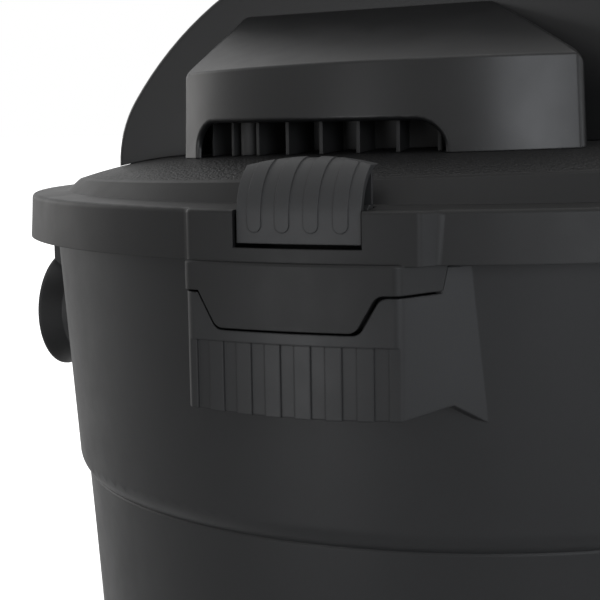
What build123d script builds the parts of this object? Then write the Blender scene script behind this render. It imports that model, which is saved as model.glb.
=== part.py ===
from build123d import *
from math import cos, degrees, radians, sin, sqrt, tan
import os

os.makedirs("parts", exist_ok=True)

# A wheeled drum vacuum of the 60 litre class.
# Millimetres, +Z up, origin on the floor under the drum's axis.
# +X points at the right-hand latch, -Y at the hose inlet (front), +Y at the cord and blower port.

# ---------------------------------------------------------------- driving dimensions
rim_height = 455.0          # floor to the top edge of the lid's collar
collar_radius = 266.0       # outside of the collar at its top edge
collar_height = 25.0
collar_flare = 1.5          # how much wider the collar is at its lower edge
shell_wall = 3.0            # moulded wall of the drum, lid and motor cover

running_gap = 0.3           # between pieces that move past each other
shaft_gap = 0.05            # radial clearance of a shaft in its bearing or bore
seat_gap = 0.2              # between pieces that rest on each other

# drum
floor_clearance = 70.0      # floor to the underside of the drum
drum_top_radius = 251.7     # outside of the wall just below the collar
drum_draft = 0.0683         # loss of radius per millimetre going down, upper part
drum_lower_draft = 0.0644
shoulder_drop = 156.0       # collar top to the start of the rounded shoulder
shoulder_height = 12.0
shoulder_crease = 0.6       # groove where the rounding meets the lower wall
shoulder_step = 5.3         # how far the wall steps in under the shoulder
drum_corner_radius = 14.0
lip_radius = 261.0          # outer edge of the drum's rim lip
lip_drop = 10.5             # collar top to the top of the lip
lip_thickness = 2.5

# grips and the lid's skirt over them
grip_face_radius = 275.0    # outside of the grip's front wall, round the drum's axis
grip_half_width = 54.0
grip_front_angle = 20.0     # lean of the grip's side walls from the radial direction
grip_rear_angle = 38.5
grip_turn = -1.05           # the grip and tongue sit this many degrees round from the latch
skirt_half_width = 58.0     # the lid's skirt above the tongue
skirt_front_angle = 24.0
skirt_rear_angle = 31.5
skirt_corner_radius = 4.0
skirt_root_round = 5.0
grip_corner_radius = 7.0
grip_bottom_drop = 97.0     # collar top to the lowest point of the front wall
grip_fold_drop = 91.2       # collar top to the ridge of the open underside
grip_fold_x = 248.0
grip_web_drop = 59.0        # collar top to the web that the fingers meet
flute_top_drop = 62.1
flute_count = 7
flute_pitch = 15.2
flute_width = 7.0
flute_depth = 1.0
flute_panel_step = 0.5      # the fluted panel stands back this far from the wall above it
tongue_radius = 277.0       # outside of the lid's tongue in front of the grip
tongue_drop = 55.4
tongue_shoulder_drop = 38.0
tongue_front_edge = -46.0   # the tongue's lower edge runs between these two
tongue_rear_edge = 34.0
tongue_side_rise = 2.0      # how much its lower edge climbs along the grip's sides
tongue_end_x = 254.0        # where it ends on the grip's sides
tongue_slope = 5.0
tongue_corner_round = 6.0
tongue_gap = 1.3

# latches
latch_half_width = 31.0
latch_face_radius = 272.5
latch_drop = 15.5
latch_wall = 3.2
latch_pin_radius = 2.0
latch_pin_x = 258.0
latch_pin_drop = 2.2
latch_hub_radius = 4.2
latch_top_rise = 23.5
latch_curl_radius = 26.5
hook_tip_x = 257.0
hook_half_width = 14.0
hook_gap = 0.5              # under the drum's lip, so that the hook swings out past its edge
notch_drop = 17.5
notch_half_width = 32.0
slot_half_width = 31.6
slot_inner_x = 250.5
slot_outer_x = 262.0
latch_leg_x = 254.0         # inner face of the latch's hidden back wall
latch_leg_wall = 1.5
pad_count = 4
pad_pitch = 14.3
pad_width = 7.2
pad_height = 0.7
pad_drop = 10.3

# lid crown, tilted a little so that it rises to the rear
ring_rise = 1.2             # the flat ring round the crown climbs this much towards it
bevel_radius = 245.0
crown_radius = 237.5
crown_edge_rise = 0.8       # above the tilted plane, like the next three
crown_mid_radius = 214.0
crown_mid_rise = 6.8
crown_rise = 11.2
crown_tilt = 1.2
crown_shoulder_radius = 185.0
crown_shoulder_rise = 11.6
crown_top_radius = 150.0
crown_top_rise = 14.0
motor_hole_radius = 100.0
plug_ring_radius = 246.0
plug_ring_drop = 24.0

# motor cover: a round-backed spine with a hood on each side
spine_half_width = 90.0
spine_half_length = 195.0
spine_foot_rise = 15.0      # collar top to the start of the spine's end curve
spine_end_radius = 70.0
spine_end_turn = 34.0
hood_radius = 187.5         # hood wall at the crown
hood_lean = 3.5             # loss of radius up to the wall's top
hood_wall_rise = 59.2       # crown edge plane to the top of the hood wall
hood_top_rise = 92.8
hood_front_angle = -41.5
hood_rear_angle = 36.8
hood_top_front_y = -106.0
hood_top_rear_y = 54.0
hood_corner_round = 6.0
hood_brink_round = 1.5
vent_angle = -11.2
vent_half_width = 77.0
vent_top_rise = 28.8
vent_corner_radius = 15.0
vent_lip_round = 2.4
baffle_radius = 152.0
baffle_depth = 24.0
baffle_fin_count = 8
baffle_fin_pitch = 7.0
baffle_fin_start = -36.5

# carry handle
handle_half_length = 92.0
handle_height = 56.0
handle_bar = 20.0
handle_half_width = 15.0
handle_foot = 30.0
handle_round = 6.0

# hose inlet on the front of the drum
port_drop = 89.0
port_bore_radius = 28.9
port_wall = 3.0
port_reach = 290.0
port_flare_radius = 40.0
port_flare_length = 14.0
port_boss_radius = 46.0
port_boss_reach = 258.0
port_flange = 4.0
port_screw_circle = 39.0
lock_width = 36.0
lock_setback = 1.0          # the lock's housing stands this far behind the port's mouth
lock_travel = 3.0

# blower port and cord inlet on the rear of the motor cover
blower_rise = 67.0
blower_reach = 214.0
blower_inner_y = 128.0
gland_radius = 8.0
gland_x = 62.0
gland_rise = 44.0
gland_reach = 203.0
cord_radius = 3.6

# switch
switch_angle = 32.0
bezel_length = 36.0
bezel_width = 28.0
rocker_length = 24.0
rocker_width = 15.0
rocker_tilt = 8.0

# drain
drain_height = 104.0
drain_radius = 25.0
drain_bore_radius = 19.0
drain_reach = 248.0
drain_cap_wall = 3.5

# casters
caster_circle = 178.0
wheel_radius = 24.0
wheel_width = 20.0
wheel_bore_radius = 4.0
caster_trail = 18.0
fork_wall = 3.0
fork_top = 52.0
stem_radius = 5.0
stem_length = 13.0
foot_radius = 27.0

# motor and fan
fan_deck_rise = 8.0         # collar top to the face that the fan housing hangs from
fan_housing_radius = 99.0
fan_housing_drop = 44.0
fan_flange_radius = 114.0
fan_inlet_radius = 27.0
impeller_radius = 86.0
impeller_eye_radius = 30.0
impeller_height = 30.0
blade_count = 9
fan_plate_thickness = 4.0
shaft_radius = 5.0
bearing_radius = 13.0
bearing_width = 7.0
motor_radius = 60.0
motor_height = 100.0
stator_radius = 48.0
stator_bore_radius = 28.0
stator_height = 56.0
coil_window_depth = 16.5    # radial depth of the window that each coil sits in
coil_window_half_width = 17.0
armature_radius = 26.0

# filter
cage_radius = 58.0
cage_wall = 4.0
cage_bar_count = 10
cage_bar_width = 6.0
cage_drop = 190.0
filter_inner_radius = 62.0
filter_outer_radius = 88.0
pleat_count = 56
filter_cap_thickness = 8.0
stud_radius = 5.0
float_radius = 34.0
float_ring_height = 19.0    # cage floor to the ring that the float rests on
float_ring_width = 6.0      # how far that ring reaches in under the float
cage_inlet_radius = 21.0

# ---------------------------------------------------------------- derived planes and helpers
rim = rim_height
deck = Plane(
    origin=(0, 0, rim + crown_rise),
    x_dir=(1, 0, 0),
    z_dir=(0, -sin(radians(crown_tilt)), cos(radians(crown_tilt))),
)
deck_side = Plane(origin=deck.origin, x_dir=(1, 0, 0), z_dir=-deck.y_dir)
deck_axis = Axis(deck.origin, deck.z_dir)
quarter_turns = (0, 90, 180, 270)


def save(builder, name):
    builder.part.label = name
    export_step(builder.part, f"parts/{name}.step")


def drum_radius(z):
    """Outside radius of the drum's upper wall at height z."""
    return drum_top_radius - drum_draft * (rim - collar_height - z)


def disc(radius, low, high, hole=0.0, at=(0, 0), mode=Mode.ADD):
    """An upright disc or ring between two heights."""
    with BuildSketch(Plane.XY.offset(low)) as ring:
        with Locations(at):
            Circle(radius)
            if hole > 0:
                Circle(hole, mode=Mode.SUBTRACT)
    extrude(ring.sketch, amount=high - low, mode=mode)


def block(x0, x1, y0, y1, z0, z1, mode=Mode.ADD):
    """A box between corner coordinates."""
    with BuildSketch(Plane.XY.offset(z0)) as base:
        with Locations(((x0 + x1) / 2, (y0 + y1) / 2)):
            Rectangle(abs(x1 - x0), abs(y1 - y0))
    extrude(base.sketch, amount=z1 - z0, mode=mode)


# ---------------------------------------------------------------- drum
shoulder_z = rim - shoulder_drop
ledge_z = shoulder_z - shoulder_height
shoulder_radius = drum_radius(shoulder_z)
ledge_radius = shoulder_radius - shoulder_step
base_radius = ledge_radius - drum_lower_draft * (ledge_z - floor_clearance)
lip_top = rim - lip_drop
lip_bottom = lip_top - lip_thickness


def drum_form(inset, mode=Mode.ADD):
    """The drum filled solid, with every face moved in by inset."""
    low = floor_clearance + inset
    high = lip_top + (1.0 if inset else 0.0)
    corner = drum_corner_radius - inset
    crease = 0.0 if inset else shoulder_crease
    low_radius = base_radius - inset
    mid_height = ledge_z + 0.45 * shoulder_height
    mid_radius = ledge_radius + 0.72 * shoulder_step
    with BuildSketch(Plane.XZ) as outline:
        with BuildLine():
            Polyline((0, low), (low_radius, low), (ledge_radius - inset, ledge_z - 1.5 * crease))
            if crease:
                Line((ledge_radius, ledge_z - 1.5 * crease), (ledge_radius - crease, ledge_z))
            ThreePointArc(
                (ledge_radius - crease - inset, ledge_z),
                (mid_radius - inset, mid_height),
                (shoulder_radius - inset, shoulder_z),
            )
            Polyline(
                (shoulder_radius - inset, shoulder_z),
                (drum_radius(high) - inset, high),
                (0, high),
                (0, low),
            )
        make_face()
        fillet(outline.vertices().group_by(Axis.Y)[0].sort_by(Axis.X)[-1], corner)
    revolve(outline.sketch, axis=Axis.Z, mode=mode)


def rounded_grip(face_radius, inset, low, high, half_width, front_lean, rear_lean, corner, turn):
    """A grip filled solid between two heights, with its sides moved in by inset.

    Its plan is an arc round the drum's axis between two leaning side walls, turned a little round that axis.
    """
    corner_x = sqrt(face_radius**2 - half_width**2)
    inner_x = lip_radius - 60.0
    front_root = half_width + (corner_x - inner_x) * tan(radians(front_lean))
    rear_root = half_width + (corner_x - inner_x) * tan(radians(rear_lean))
    with BuildSketch(Plane.XY.offset(low)) as plan:
        with BuildLine():
            Polyline(
                (corner_x, -half_width),
                (inner_x, -front_root),
                (inner_x, rear_root),
                (corner_x, half_width),
            )
            ThreePointArc((corner_x, half_width), (face_radius, 0), (corner_x, -half_width))
        make_face()
        if inset:
            offset(amount=-inset, kind=Kind.INTERSECTION, mode=Mode.REPLACE)
        fillet(plan.vertices().sort_by(Axis.X)[-2:], corner - 0.7 * inset)
    with BuildPart() as solid:
        extrude(plan.sketch, amount=high - low)
    return solid.part.rotate(Axis.Z, turn)


def grip_solid(face_radius, inset, low, high):
    """The plan shared by the drum's grip and the lid's tongue."""
    return rounded_grip(face_radius, inset, low, high, grip_half_width, grip_front_angle, grip_rear_angle,
                        grip_corner_radius, grip_turn)


def skirt_solid(inset, low, high):
    """The lid's skirt over the grip and round the latch."""
    return rounded_grip(grip_face_radius, inset, low, high, skirt_half_width, skirt_front_angle,
                        skirt_rear_angle, skirt_corner_radius, 0.0)


def tongue_front(grow, mode):
    """The tongue's outline seen from the front, swept through the grip's front wall."""
    low = rim - tongue_drop - grow
    shoulder = rim - tongue_shoulder_drop - grow
    wide = grip_half_width + 26.0
    front = tongue_front_edge - grow
    rear = tongue_rear_edge + grow
    with BuildSketch(Plane.YZ.offset(collar_radius - 60.0)) as outline:
        with BuildLine():
            Polyline(
                (-wide, rim),
                (-wide, shoulder),
                (front - tongue_slope, shoulder),
                (front + tongue_slope, low),
                (rear - tongue_slope, low),
                (rear + tongue_slope, shoulder),
                (grip_half_width - 5.0, shoulder),
                (wide, shoulder + tongue_side_rise),
                (wide, rim),
                close=True,
            )
        make_face()
        fillet(outline.vertices().filter_by(lambda v: abs(v.X) < grip_half_width - 6.0), tongue_corner_round)
    extrude(outline.sketch, amount=90.0, mode=mode)


def tongue_side(grow, mode):
    """Cuts away the tongue's plan behind its two slanting ends on the grip's sides."""
    low = rim - tongue_shoulder_drop - 40.0
    with BuildSketch(Plane.XZ.offset(-120.0)) as outline:
        with BuildLine():
            Polyline(
                (collar_radius - 60.0, rim),
                (tongue_end_x - 2.0 - grow, rim),
                (tongue_end_x - 2.0 - grow, rim - collar_height - 2.0),
                (tongue_end_x - grow, rim - tongue_shoulder_drop + 1.0),
                (tongue_end_x + 7.0 - grow, low),
                (collar_radius - 60.0, low),
                close=True,
            )
        make_face()
    extrude(outline.sketch, amount=240.0, mode=mode)


with BuildPart() as tongue_space:
    add(grip_solid(tongue_radius + 10.0, 0, rim - tongue_drop - 5.0, rim))
    tongue_front(tongue_gap, Mode.INTERSECT)
    tongue_side(tongue_gap, Mode.SUBTRACT)

grip_low = rim - grip_bottom_drop - 8.0
grip_high = rim - collar_height - tongue_gap
flute_turn = degrees(flute_pitch / grip_face_radius)

with BuildPart() as grip:
    add(grip_solid(grip_face_radius, 0, grip_low, grip_high))
    # the fluted panel: a shallow step back, with upright flutes cut into it
    panel_radius = grip_face_radius - flute_panel_step
    panel_high = rim - flute_top_drop
    disc(grip_face_radius + 10.0, grip_low, panel_high, hole=panel_radius, mode=Mode.SUBTRACT)
    with BuildSketch(Plane.XY.offset(grip_low)):
        with PolarLocations(panel_radius, flute_count, start_angle=grip_turn - (flute_count - 1) / 2 * flute_turn,
                            angular_range=(flute_count - 1) * flute_turn, endpoint=True):
            Rectangle(2 * flute_depth, flute_width)
    extrude(amount=panel_high - grip_low, mode=Mode.SUBTRACT)
    under_web = rim - grip_web_drop - shell_wall
    add(grip_solid(grip_face_radius, shell_wall, grip_low, under_web), mode=Mode.SUBTRACT)
    add(grip_solid(grip_face_radius, shell_wall, rim - grip_web_drop, grip_high), mode=Mode.SUBTRACT)
    add(tongue_space.part, mode=Mode.SUBTRACT)
    # the open underside: two sloping planes that meet in a ridge
    ridge_z = rim - grip_fold_drop
    with BuildSketch(Plane.XZ.offset(-120.0)):
        with BuildLine():
            Polyline(
                (grip_fold_x, ridge_z),
                (grip_face_radius, rim - grip_bottom_drop),
                (grip_face_radius + 10.0, grip_low - 10.0),
                (lip_radius - 61.0, grip_low - 10.0),
                (grip_fold_x - 19.0, ridge_z - 13.1),
                close=True,
            )
        make_face()
    extrude(amount=240.0, mode=Mode.SUBTRACT)

port_z = rim - port_drop
port_outer_radius = port_bore_radius + port_wall
port_screw_angles = (45, 135, 225, 315)

with BuildPart() as drum:
    drum_form(0)
    add(grip.part)
    mirror(grip.part, about=Plane.YZ)
    # flat-faced boss for the hose inlet
    with BuildSketch(Plane.XZ.offset(port_boss_reach)):
        with Locations((0, port_z)):
            Circle(port_boss_radius)
    extrude(amount=-40.0)
    # drain spout
    with BuildSketch(Plane.XZ.offset(-drain_reach)):
        with Locations((0, drain_height)):
            Circle(drain_radius)
    extrude(amount=40.0)
    drum_form(shell_wall, Mode.SUBTRACT)
    disc(lip_radius, lip_bottom, lip_top, hole=drum_radius(lip_top) - shell_wall)
    with BuildSketch(Plane.XZ.offset(port_boss_reach)):
        with Locations((0, port_z)):
            Circle(port_outer_radius + running_gap)
    extrude(amount=-60.0, mode=Mode.SUBTRACT)
    with BuildSketch(Plane.XZ.offset(port_boss_reach)):
        with Locations((0, port_z)):
            with PolarLocations(port_screw_circle, 4, start_angle=45):
                Circle(1.6)
    extrude(amount=-10.0, mode=Mode.SUBTRACT)
    with BuildSketch(Plane.XZ.offset(-drain_reach)):
        with Locations((0, drain_height)):
            Circle(drain_bore_radius)
    extrude(amount=60.0, mode=Mode.SUBTRACT)
save(drum, "drum")

# ---------------------------------------------------------------- lid
collar_low = rim - collar_height
crown_shoulder = crown_shoulder_rise
gasket_thickness = 1.0


def crown_height(x, y):
    """Height of the crown's conical top at (x, y)."""
    slope = (crown_top_rise - crown_shoulder) / (crown_shoulder_radius - crown_top_radius)
    fall = slope * max(0.0, sqrt(x**2 + y**2) - crown_top_radius)
    return rim + crown_rise + crown_top_rise - fall + y * sin(radians(crown_tilt))


seat_z = lip_top + seat_gap + gasket_thickness   # underside of the web over the drum's lip
web_thickness = 2.5


def at_skirt_root(edge):
    """True for the upright edges where the skirt's sides run into the collar."""
    middle = edge.center()
    upright = abs(edge.tangent_at(0.5).Z) > 0.95 and edge.length > 0.5 * collar_height
    reach = sqrt(middle.X**2 + middle.Y**2)
    return upright and abs(reach - collar_radius) < 2.0 and abs(middle.Y) < 0.4 * collar_radius


def lid_form(inset, mode=Mode.ADD):
    """The lid filled solid, without its tongues, with every face moved in by inset."""
    low = collar_low - (5.0 if inset > 0 else 0.0)
    outer = collar_radius - inset
    with BuildSketch(Plane.XZ) as band:
        with BuildLine():
            Polyline(
                (0, low),
                (outer + collar_flare, low),
                (outer, rim - inset),
                (bevel_radius, rim + ring_rise - inset),
                (0, rim + ring_rise - inset),
                close=True,
            )
        make_face()
        fillet(band.vertices().sort_by_distance((outer, rim - inset, 0))[0], 2.6 - 0.4 * inset)
    with BuildSketch(Plane.XY.offset(rim + ring_rise - inset)) as bevel_foot:
        Circle(bevel_radius - 0.55 * inset)
    edge_radius = crown_radius - 0.55 * inset
    edge_rise = crown_edge_rise - inset
    with BuildSketch(deck.offset(edge_rise)) as bevel_head:
        Circle(edge_radius)
    with BuildSketch(deck_side) as crown:
        with BuildLine():
            Line((0, edge_rise), (edge_radius, edge_rise))
            ThreePointArc(
                (edge_radius, edge_rise),
                (crown_mid_radius - 0.2 * inset, crown_mid_rise - inset),
                (crown_shoulder_radius, crown_shoulder - inset),
            )
            Polyline(
                (crown_shoulder_radius, crown_shoulder - inset),
                (crown_top_radius, crown_top_rise - inset),
                (0, crown_top_rise - inset),
                (0, edge_rise),
            )
        make_face()
    with BuildPart() as form:
        revolve(band.sketch, axis=Axis.Z)
        loft([bevel_foot.sketch.face(), bevel_head.sketch.face()], ruled=True)
        revolve(crown.sketch, axis=deck_axis)
        with BuildPart(mode=Mode.PRIVATE) as skirt:
            add(skirt_solid(inset, low, rim - inset))
            fillet(skirt.faces().sort_by(Axis.Z)[-1].edges().sort_by(Axis.X)[-4:], 1.6 - 0.3 * inset)
        add(skirt.part)
        mirror(skirt.part, about=Plane.YZ)
        if inset == 0:
            fillet(form.edges().filter_by(at_skirt_root), skirt_root_round)
    add(form.part, mode=mode)


with BuildPart() as tongue:
    add(grip_solid(tongue_radius, 0, rim - tongue_drop - 1.0, collar_low + 1.0))
    top_edges = tongue.faces().sort_by(Axis.Z)[-1].edges().sort_by(Axis.X)[-3:]
    fillet(top_edges, 1.6)
    tongue_hollow = grip_solid(grip_face_radius, shell_wall, rim - tongue_drop - 1.0, collar_low + 1.0)
    add(tongue_hollow, mode=Mode.SUBTRACT)
    tongue_front(0, Mode.INTERSECT)
    tongue_side(0, Mode.SUBTRACT)
    # shelf that joins the tongue to the skirt's lower edge
    with BuildPart(mode=Mode.PRIVATE) as shelf:
        add(skirt_solid(0, collar_low, collar_low + 2.0))
        add(tongue_hollow.moved(Location((0, 0, 2.0))), mode=Mode.SUBTRACT)
        disc(collar_radius - 1.0, collar_low - 1.0, collar_low + 3.0, mode=Mode.SUBTRACT)
    add(shelf.part)

with BuildPart() as slot_wall:
    lid_form(0)
    block(slot_inner_x - 3.0, slot_outer_x + 2.0, -slot_half_width - 5.0, slot_half_width + 5.0,
          seat_z, rim + 20.0, Mode.INTERSECT)

# the ring that the fan housing hangs from
with BuildPart() as deck_ring:
    lid_form(0.5)
    disc(fan_flange_radius + 2.0, rim + fan_deck_rise, rim + 40.0, hole=motor_hole_radius,
         mode=Mode.INTERSECT)

cover_screw_places = [(x, y) for x in (-70.0, 70.0) for y in (-140.0, 140.0)]
housing_screw_circle = fan_flange_radius - 6.0

with BuildPart() as lid:
    lid_form(0)
    lid_form(shell_wall, Mode.SUBTRACT)
    # web over the drum's lip and the ring that plugs the drum's mouth
    disc(collar_radius - 1.0, seat_z, seat_z + web_thickness, hole=plug_ring_radius - 2.5)
    disc(plug_ring_radius, rim - plug_ring_drop, rim + 1.0, hole=plug_ring_radius - 2.5)
    add(tongue.part)
    mirror(tongue.part, about=Plane.YZ)
    add(slot_wall.part)
    mirror(slot_wall.part, about=Plane.YZ)
    add(deck_ring.part)
    disc(motor_hole_radius, rim, rim + 40.0, mode=Mode.SUBTRACT)
    for side in (1, -1):
        # notch for the latch, its slot through the bevel and the bore for its pin
        block(side * (slot_outer_x - 1.0), side * (grip_face_radius + 5.0),
              -notch_half_width, notch_half_width, rim - notch_drop, rim + 5.0, Mode.SUBTRACT)
        block(side * slot_inner_x, side * (grip_face_radius + 5.0),
              -slot_half_width, slot_half_width, rim - 0.6, rim + 20.0, Mode.SUBTRACT)
        block(side * slot_inner_x, side * (slot_outer_x + 0.5),
              -slot_half_width, slot_half_width, seat_z + web_thickness, rim + 20.0, Mode.SUBTRACT)
        with BuildSketch(Plane.XZ.offset(-slot_half_width - 4.0)):
            with Locations((side * latch_pin_x, rim - latch_pin_drop)):
                Circle(latch_pin_radius)
        extrude(amount=2 * slot_half_width + 8.0, mode=Mode.SUBTRACT)
    for x, y in cover_screw_places:
        disc(2.2, rim, rim + 40.0, at=(x, y), mode=Mode.SUBTRACT)
    with BuildSketch(Plane.XY.offset(rim + fan_deck_rise)):
        with PolarLocations(housing_screw_circle, 6):
            Circle(1.6)
    extrude(amount=10.0, mode=Mode.SUBTRACT)
save(lid, "lid")

with BuildPart() as lid_gasket:
    disc(lip_radius - 4.0, lip_top + seat_gap, seat_z, hole=drum_radius(lip_top) - shell_wall)
save(lid_gasket, "lid_gasket")

# ---------------------------------------------------------------- latches
latch_low = rim - latch_drop
curl_x = latch_face_radius - latch_curl_radius
curl_z = rim + latch_top_rise - latch_curl_radius
pin_z = rim - latch_pin_drop
hook_top = lip_bottom - hook_gap


def latch_shell(grow, thickness):
    """The latch's curled face, turned round the drum's axis a little past its width."""
    outer = latch_curl_radius + grow
    inner = outer - thickness
    with BuildSketch(Plane.XZ) as section:
        with BuildLine():
            Polyline((curl_x + inner, curl_z), (curl_x + inner, latch_low), (curl_x + outer, latch_low),
                     (curl_x + outer, curl_z))
            CenterArc((curl_x, curl_z), outer, 0, 88)
            CenterArc((curl_x, curl_z), inner, 0, 88)
            Line(
                (curl_x + inner * cos(radians(88)), curl_z + inner * sin(radians(88))),
                (curl_x + outer * cos(radians(88)), curl_z + outer * sin(radians(88))),
            )
        make_face()
    with BuildPart() as shell:
        revolve(section.sketch, axis=Axis.Z, revolution_arc=20.0)
    return shell.part.rotate(Axis.Z, -10.0)


with BuildPart() as latch:
    add(latch_shell(0, latch_wall))
    # raised finger pads, kept where their capsules meet a slightly larger copy of the face
    with BuildPart(mode=Mode.PRIVATE) as pads:
        add(latch_shell(pad_height, pad_height + 1.0))
        with BuildSketch(Plane.YZ.offset(curl_x - 20.0)) as capsules:
            for n in range(pad_count):
                y = (n - (pad_count - 1) / 2) * pad_pitch
                with Locations((y, rim - pad_drop + pad_width / 2)):
                    Circle(pad_width / 2)
                with Locations((y, rim - pad_drop + pad_width / 2 + 25.0)):
                    Rectangle(pad_width, 50.0)
        extrude(capsules.sketch, amount=90.0, mode=Mode.INTERSECT)
    add(pads.part)
    # hidden back wall under the curl
    leg_high = curl_z + sqrt((latch_curl_radius - 1.0) ** 2 - (latch_leg_x - curl_x) ** 2) - 1.0
    block(latch_leg_x, latch_leg_x + latch_leg_wall, -latch_half_width, latch_half_width, rim + 1.6, leg_high)
    # trim to width, with the top edge bowed a little
    with BuildSketch(Plane.YZ.offset(curl_x - 20.0)):
        with BuildLine():
            Polyline(
                (-latch_half_width, rim + latch_top_rise - 3.2),
                (-latch_half_width, latch_low),
                (latch_half_width, latch_low),
                (latch_half_width, rim + latch_top_rise - 3.2),
            )
            ThreePointArc(
                (latch_half_width, rim + latch_top_rise - 3.2),
                (0, rim + latch_top_rise + pad_height),
                (-latch_half_width, rim + latch_top_rise - 3.2),
            )
        make_face()
    extrude(amount=90.0, mode=Mode.INTERSECT)
    # hub on the pin, the web that carries it and the hook under the drum's lip
    with BuildSketch(Plane.XZ.offset(-slot_half_width + 0.6)):
        with Locations((latch_pin_x, pin_z)):
            Circle(latch_hub_radius)
    extrude(amount=2 * slot_half_width - 1.2)
    block(latch_pin_x, latch_face_radius - 2.6, 4.0 - latch_half_width, latch_half_width - 4.0,
          pin_z - 2.0, pin_z + 2.0)
    block(hook_tip_x, latch_face_radius - 1.6, -hook_half_width, hook_half_width, latch_low, hook_top)
    with BuildSketch(Plane.XZ.offset(-slot_half_width)):
        with Locations((latch_pin_x, pin_z)):
            Circle(latch_pin_radius)
    extrude(amount=2 * slot_half_width, mode=Mode.SUBTRACT)
save(latch, "latch_right")

with BuildPart() as latch_left:
    mirror(latch.part, about=Plane.YZ)
save(latch_left, "latch_left")

with BuildPart() as latch_pins:
    for side in (1, -1):
        with BuildSketch(Plane.XZ.offset(-slot_half_width - 3.8)):
            with Locations((side * latch_pin_x, pin_z)):
                Circle(latch_pin_radius - shaft_gap)
        extrude(amount=2 * slot_half_width + 7.6)
save(latch_pins, "latch_pins")

# ---------------------------------------------------------------- motor cover
spine_turn = radians(spine_end_turn)
spine_top_radius = spine_end_radius + (spine_half_length - spine_end_radius) / cos(spine_turn)
spine_end_y = spine_half_length - spine_end_radius
spine_end_z = rim + spine_foot_rise
spine_top_z = spine_end_z - (spine_top_radius - spine_end_radius) * sin(spine_turn)
cover_low = rim - 2.0


def spine_height(y):
    """Height of the spine's back at a distance y along it."""
    return spine_top_z + sqrt(spine_top_radius**2 - y**2)


def hood_outline(plane, radius, front_y, rear_y, inner_x):
    """Plan of the hood's wall: an arc between its front and rear corners."""
    front = (radius * cos(radians(hood_front_angle)), radius * sin(radians(hood_front_angle)))
    rear = (radius * cos(radians(hood_rear_angle)), radius * sin(radians(hood_rear_angle)))
    with BuildSketch(plane) as outline:
        with BuildLine():
            Polyline(front, (inner_x, front_y), (inner_x, rear_y), rear)
            ThreePointArc(rear, (radius, 0), front)
        make_face()
    return outline.sketch.face()


def hood_edges(hood, low, high):
    """The hood's outer edges whose middle lies between two heights above the crown's edge."""
    outer = hood.edges().filter_by(lambda e: deck.to_local_coords(e.center()).X > spine_half_width + 2.0)
    return outer.filter_by(lambda e: low < deck.to_local_coords(e.center()).Z < high)


def cover_form(inset, mode=Mode.ADD):
    """The motor cover filled solid down to the collar's level, with its faces moved in by inset."""
    half = spine_half_width - inset
    end = spine_end_radius - inset
    top = spine_top_radius - inset
    turn = spine_end_turn
    with BuildSketch(Plane.YZ.offset(-half)) as profile:
        with BuildLine():
            CenterArc((-spine_end_y, spine_end_z), end, 180, -turn)
            CenterArc((0, spine_top_z), top, 180 - turn, 2 * turn - 180)
            CenterArc((spine_end_y, spine_end_z), end, turn, -turn)
            Polyline(
                (spine_end_y + end, spine_end_z),
                (spine_end_y + end, cover_low),
                (-spine_end_y - end, cover_low),
                (-spine_end_y - end, spine_end_z),
            )
        make_face()
    wall_top = deck.offset(hood_wall_rise - inset)
    roof = deck.offset(hood_top_rise - inset)
    low_plane = deck.offset(-crown_rise - 2.0)
    rear_slope = (hood_radius * sin(radians(hood_rear_angle)) - hood_top_rear_y) / (
        hood_radius * cos(radians(hood_rear_angle)) - spine_half_width)
    inner_x = spine_half_width - 20.0
    rear_y = hood_top_rear_y - 20.0 * rear_slope
    front_y = hood_top_front_y - 6.0
    low_radius = hood_radius + 0.4 - inset
    high_radius = hood_radius - hood_lean - inset
    low_face = hood_outline(low_plane, low_radius, front_y + inset, rear_y - inset, inner_x)
    wall_face = hood_outline(wall_top, high_radius, front_y + inset, rear_y - inset, inner_x)
    with BuildSketch(roof) as roof_outline:
        with BuildLine():
            Polyline(
                (spine_half_width, hood_top_front_y + inset),
                (inner_x, hood_top_front_y + inset),
                (inner_x, rear_y - inset),
                (spine_half_width, hood_top_rear_y - inset),
                close=True,
            )
        make_face()
    with BuildPart() as hood:
        loft([low_face, wall_face], ruled=True)
        loft([wall_face, roof_outline.sketch.face()], ruled=True)
        if inset == 0:
            corners = hood_edges(hood, 1.0, hood_wall_rise - 2.0)
            hips = hood_edges(hood, hood_wall_rise + 2.0, hood_top_rise - 1.0)
            fillet(corners + hips, hood_corner_round)
            brink = hood_edges(hood, hood_wall_rise - 1.0, hood_wall_rise + 1.0)
            fillet(brink.sort_by(SortBy.LENGTH)[-1], hood_brink_round)
    with BuildPart() as form:
        extrude(profile.sketch, amount=2 * half)
        if inset == 0:
            backs = form.faces().filter_by(Plane.YZ)
            fillet(backs.edges().filter_by(lambda e: e.center().Z > cover_low + 1.0), 3.0)
        add(hood.part)
        mirror(hood.part, about=Plane.YZ)
    add(form.part, mode=mode)


vent_plane = Plane(
    origin=(0, 0, rim),
    x_dir=(-sin(radians(vent_angle)), cos(radians(vent_angle)), 0),
    z_dir=(cos(radians(vent_angle)), sin(radians(vent_angle)), 0),
)
vent_low = rim + crown_rise
vent_high = rim + crown_rise + vent_top_rise
blower_z = rim + blower_rise
blower_outer_radius = port_bore_radius + port_wall
switch_y = -spine_top_radius * sin(radians(switch_angle))
switch_plane = Plane(
    origin=(0, switch_y, spine_height(switch_y)),
    x_dir=(1, 0, 0),
    z_dir=(0, -sin(radians(switch_angle)), cos(radians(switch_angle))),
)
switch_side = Plane(origin=switch_plane.origin, x_dir=switch_plane.y_dir, z_dir=(1, 0, 0))
handle_screw_places = [(0, y) for y in (handle_foot / 2 - handle_half_length, handle_half_length - handle_foot / 2)]


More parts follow.
